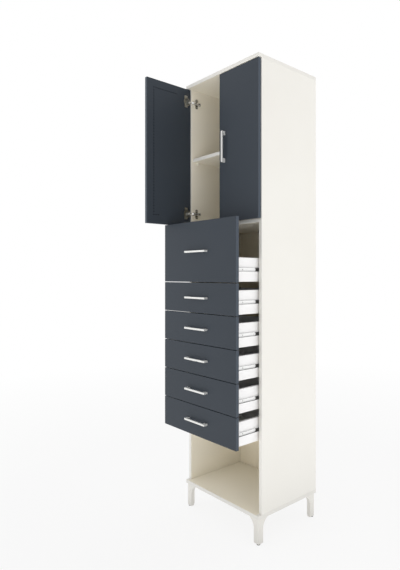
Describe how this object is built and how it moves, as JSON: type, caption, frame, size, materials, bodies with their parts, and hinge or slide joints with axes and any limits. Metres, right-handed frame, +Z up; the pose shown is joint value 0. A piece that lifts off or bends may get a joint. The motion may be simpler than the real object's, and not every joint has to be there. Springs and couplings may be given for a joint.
{
  "type": "chifforobe",
  "caption": "Tall narrow wardrobe chest with a two-door cupboard over a stack of pull-out drawers, an open niche below and bracket feet.",
  "frame": {"origin": "on the floor, below the middle of the two side panels", "axes": "+Z up, -Y out of the front, +X to the right seen from the front"},
  "size_m": [0.522, 0.6105, 2.05],
  "materials": {
    "cream_board": "cream melamine-faced chipboard, fine satin grain",
    "back_board": "cream lacquered thin fibreboard",
    "anthracite_board": "matt anthracite blue-grey melamine-faced board with matching edge band",
    "white_board": "white foil-wrapped board",
    "white_base": "white lacquered thin fibreboard",
    "handle_steel": "satin nickel-coloured, finely brushed",
    "hinge_nickel": "nickel-plated pressed steel",
    "runner_steel": "rolled steel with a white epoxy coat",
    "cream_plastic": "moulded cream plastic",
    "grey_plastic": "moulded grey plastic",
    "dowel_wood": "plain beech"
  },
  "bodies": {
    "carcass": {"left_side_panel": "cream_board", "right_side_panel": "cream_board", "top_board": "cream_board", "bottom_board": "cream_board", "fixed_shelf": "cream_board", "loose_shelf": "cream_board", "shelf_pins": "cream_plastic", "back_panel": "back_board", "front_left_foot": "cream_board", "front_right_foot": "cream_board", "rear_left_foot": "cream_board", "rear_right_foot": "cream_board", "foot_glides": "grey_plastic", "joint_dowels": "dowel_wood", "cabinet_runners": "runner_steel", "hinge_plates": "hinge_nickel", "hinge_arms": "hinge_nickel", "hinge_pins": "hinge_nickel"},
    "left_door": {"left_door_panel": "anthracite_board", "left_door_handle": "handle_steel", "left_hinge_cups": "hinge_nickel"},
    "right_door": {"right_door_panel": "anthracite_board", "right_door_handle": "handle_steel", "right_hinge_cups": "hinge_nickel"},
    "drawer_1": {"drawer_1_front": "anthracite_board", "drawer_1_sides": "white_board", "drawer_1_back": "white_board", "drawer_1_bottom": "white_base", "drawer_1_runners": "runner_steel", "drawer_1_handle": "handle_steel"},
    "drawer_2": {"drawer_2_front": "anthracite_board", "drawer_2_sides": "white_board", "drawer_2_back": "white_board", "drawer_2_bottom": "white_base", "drawer_2_runners": "runner_steel", "drawer_2_handle": "handle_steel"},
    "drawer_3": {"drawer_3_front": "anthracite_board", "drawer_3_sides": "white_board", "drawer_3_back": "white_board", "drawer_3_bottom": "white_base", "drawer_3_runners": "runner_steel", "drawer_3_handle": "handle_steel"},
    "drawer_4": {"drawer_4_front": "anthracite_board", "drawer_4_sides": "white_board", "drawer_4_back": "white_board", "drawer_4_bottom": "white_base", "drawer_4_runners": "runner_steel", "drawer_4_handle": "handle_steel"},
    "drawer_5": {"drawer_5_front": "anthracite_board", "drawer_5_sides": "white_board", "drawer_5_back": "white_board", "drawer_5_bottom": "white_base", "drawer_5_runners": "runner_steel", "drawer_5_handle": "handle_steel"},
    "drawer_6": {"drawer_6_front": "anthracite_board", "drawer_6_sides": "white_board", "drawer_6_back": "white_board", "drawer_6_bottom": "white_base", "drawer_6_runners": "runner_steel", "drawer_6_handle": "handle_steel"}
  },
  "joints": [
    {"name": "left_door_hinge", "type": "hinge", "parent": "carcass", "child": "left_door", "pos_m": [-0.2425, -0.1895, 1.6975], "axis": [0, 0, 1], "range_deg": [-5, 90]},
    {"name": "right_door_hinge", "type": "hinge", "parent": "carcass", "child": "right_door", "pos_m": [0.2425, -0.1895, 1.6975], "axis": [0, 0, 1], "range_deg": [0, 95]},
    {"name": "drawer_1_slide", "type": "slide", "parent": "carcass", "child": "drawer_1", "axis": [0, -1, 0], "range_m": [-0.125, 0.105]},
    {"name": "drawer_2_slide", "type": "slide", "parent": "carcass", "child": "drawer_2", "axis": [0, -1, 0], "range_m": [-0.125, 0.105]},
    {"name": "drawer_3_slide", "type": "slide", "parent": "carcass", "child": "drawer_3", "axis": [0, -1, 0], "range_m": [-0.125, 0.105]},
    {"name": "drawer_4_slide", "type": "slide", "parent": "carcass", "child": "drawer_4", "axis": [0, -1, 0], "range_m": [-0.125, 0.105]},
    {"name": "drawer_5_slide", "type": "slide", "parent": "carcass", "child": "drawer_5", "axis": [0, -1, 0], "range_m": [-0.125, 0.105]},
    {"name": "drawer_6_slide", "type": "slide", "parent": "carcass", "child": "drawer_6", "axis": [0, -1, 0], "range_m": [-0.125, 0.105]}
  ]
}
